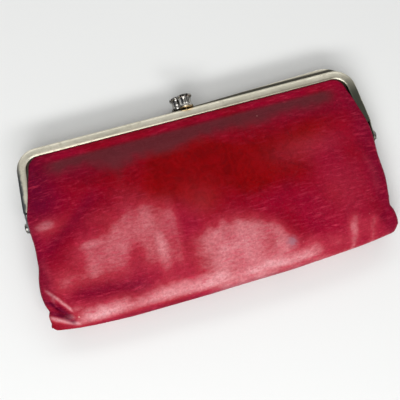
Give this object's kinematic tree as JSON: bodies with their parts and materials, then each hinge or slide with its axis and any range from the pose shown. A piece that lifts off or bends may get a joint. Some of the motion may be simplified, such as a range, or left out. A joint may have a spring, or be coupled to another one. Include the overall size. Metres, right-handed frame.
{
  "type": "kiss-lock frame clutch wallet",
  "caption": "Long flat leather clutch wallet with a hinged metal channel frame and a kiss-lock clasp, holding notes, cards and a zipped coin pocket.",
  "frame": {"origin": "centre of the bounding box in X and Y, on the plane the back panel rests on", "axes": "+X along the wallet to the right as it lies face up, +Y from the bottom edge to the clasp, +Z from the back panel to the front panel"},
  "size_m": [0.2056, 0.1144, 0.025],
  "materials": {
    "red_leather": "glossy glazed",
    "dark_leather": "satin",
    "lining_cloth": "matt woven",
    "nickel_frame": "brushed champagne nickel",
    "antique_silver": "polished antique silver",
    "brass": "polished",
    "zip_tape": "matt woven",
    "kraft_paper": "matt"
  },
  "bodies": {
    "bag": {"back_frame": "nickel_frame", "back_filler_cord": "kraft_paper", "hinge_rivet_right": "nickel_frame", "hinge_rivet_left": "nickel_frame", "back_clasp_spool": "antique_silver", "back_clasp_rivet": "brass", "leather_body": "red_leather", "leather_front_fold": "red_leather", "gusset_right": "dark_leather", "gusset_left": "dark_leather", "lining_body": "lining_cloth", "lining_front_fold": "lining_cloth", "zip_pocket_rear": "lining_cloth", "zip_pocket_front": "lining_cloth", "zip_tape_upper": "zip_tape", "zip_tape_lower": "zip_tape", "zip_chain": "brass", "card_slot_top": "dark_leather", "card_slot_middle": "dark_leather", "card_slot_bottom": "dark_leather"},
    "front_frame_body": {"front_frame": "nickel_frame", "front_filler_cord": "kraft_paper", "front_clasp_spool": "antique_silver", "front_clasp_rivet": "brass", "leather_front_upper": "red_leather", "lining_front_upper": "lining_cloth"},
    "zip_slider_body": {"zip_slider": "brass"}
  },
  "joints": [
    {"name": "frame_hinge", "type": "hinge", "parent": "bag", "child": "front_frame_body", "pos_m": [0, 0.00504, 0.012], "axis": [1, 0, 0], "range_deg": [0, 75], "deforming": ["leather_front_fold", "lining_front_fold"]},
    {"name": "zip_slide", "type": "slide", "parent": "bag", "child": "zip_slider_body", "axis": [1, 0, 0], "range_m": [0, 0.128]}
  ]
}
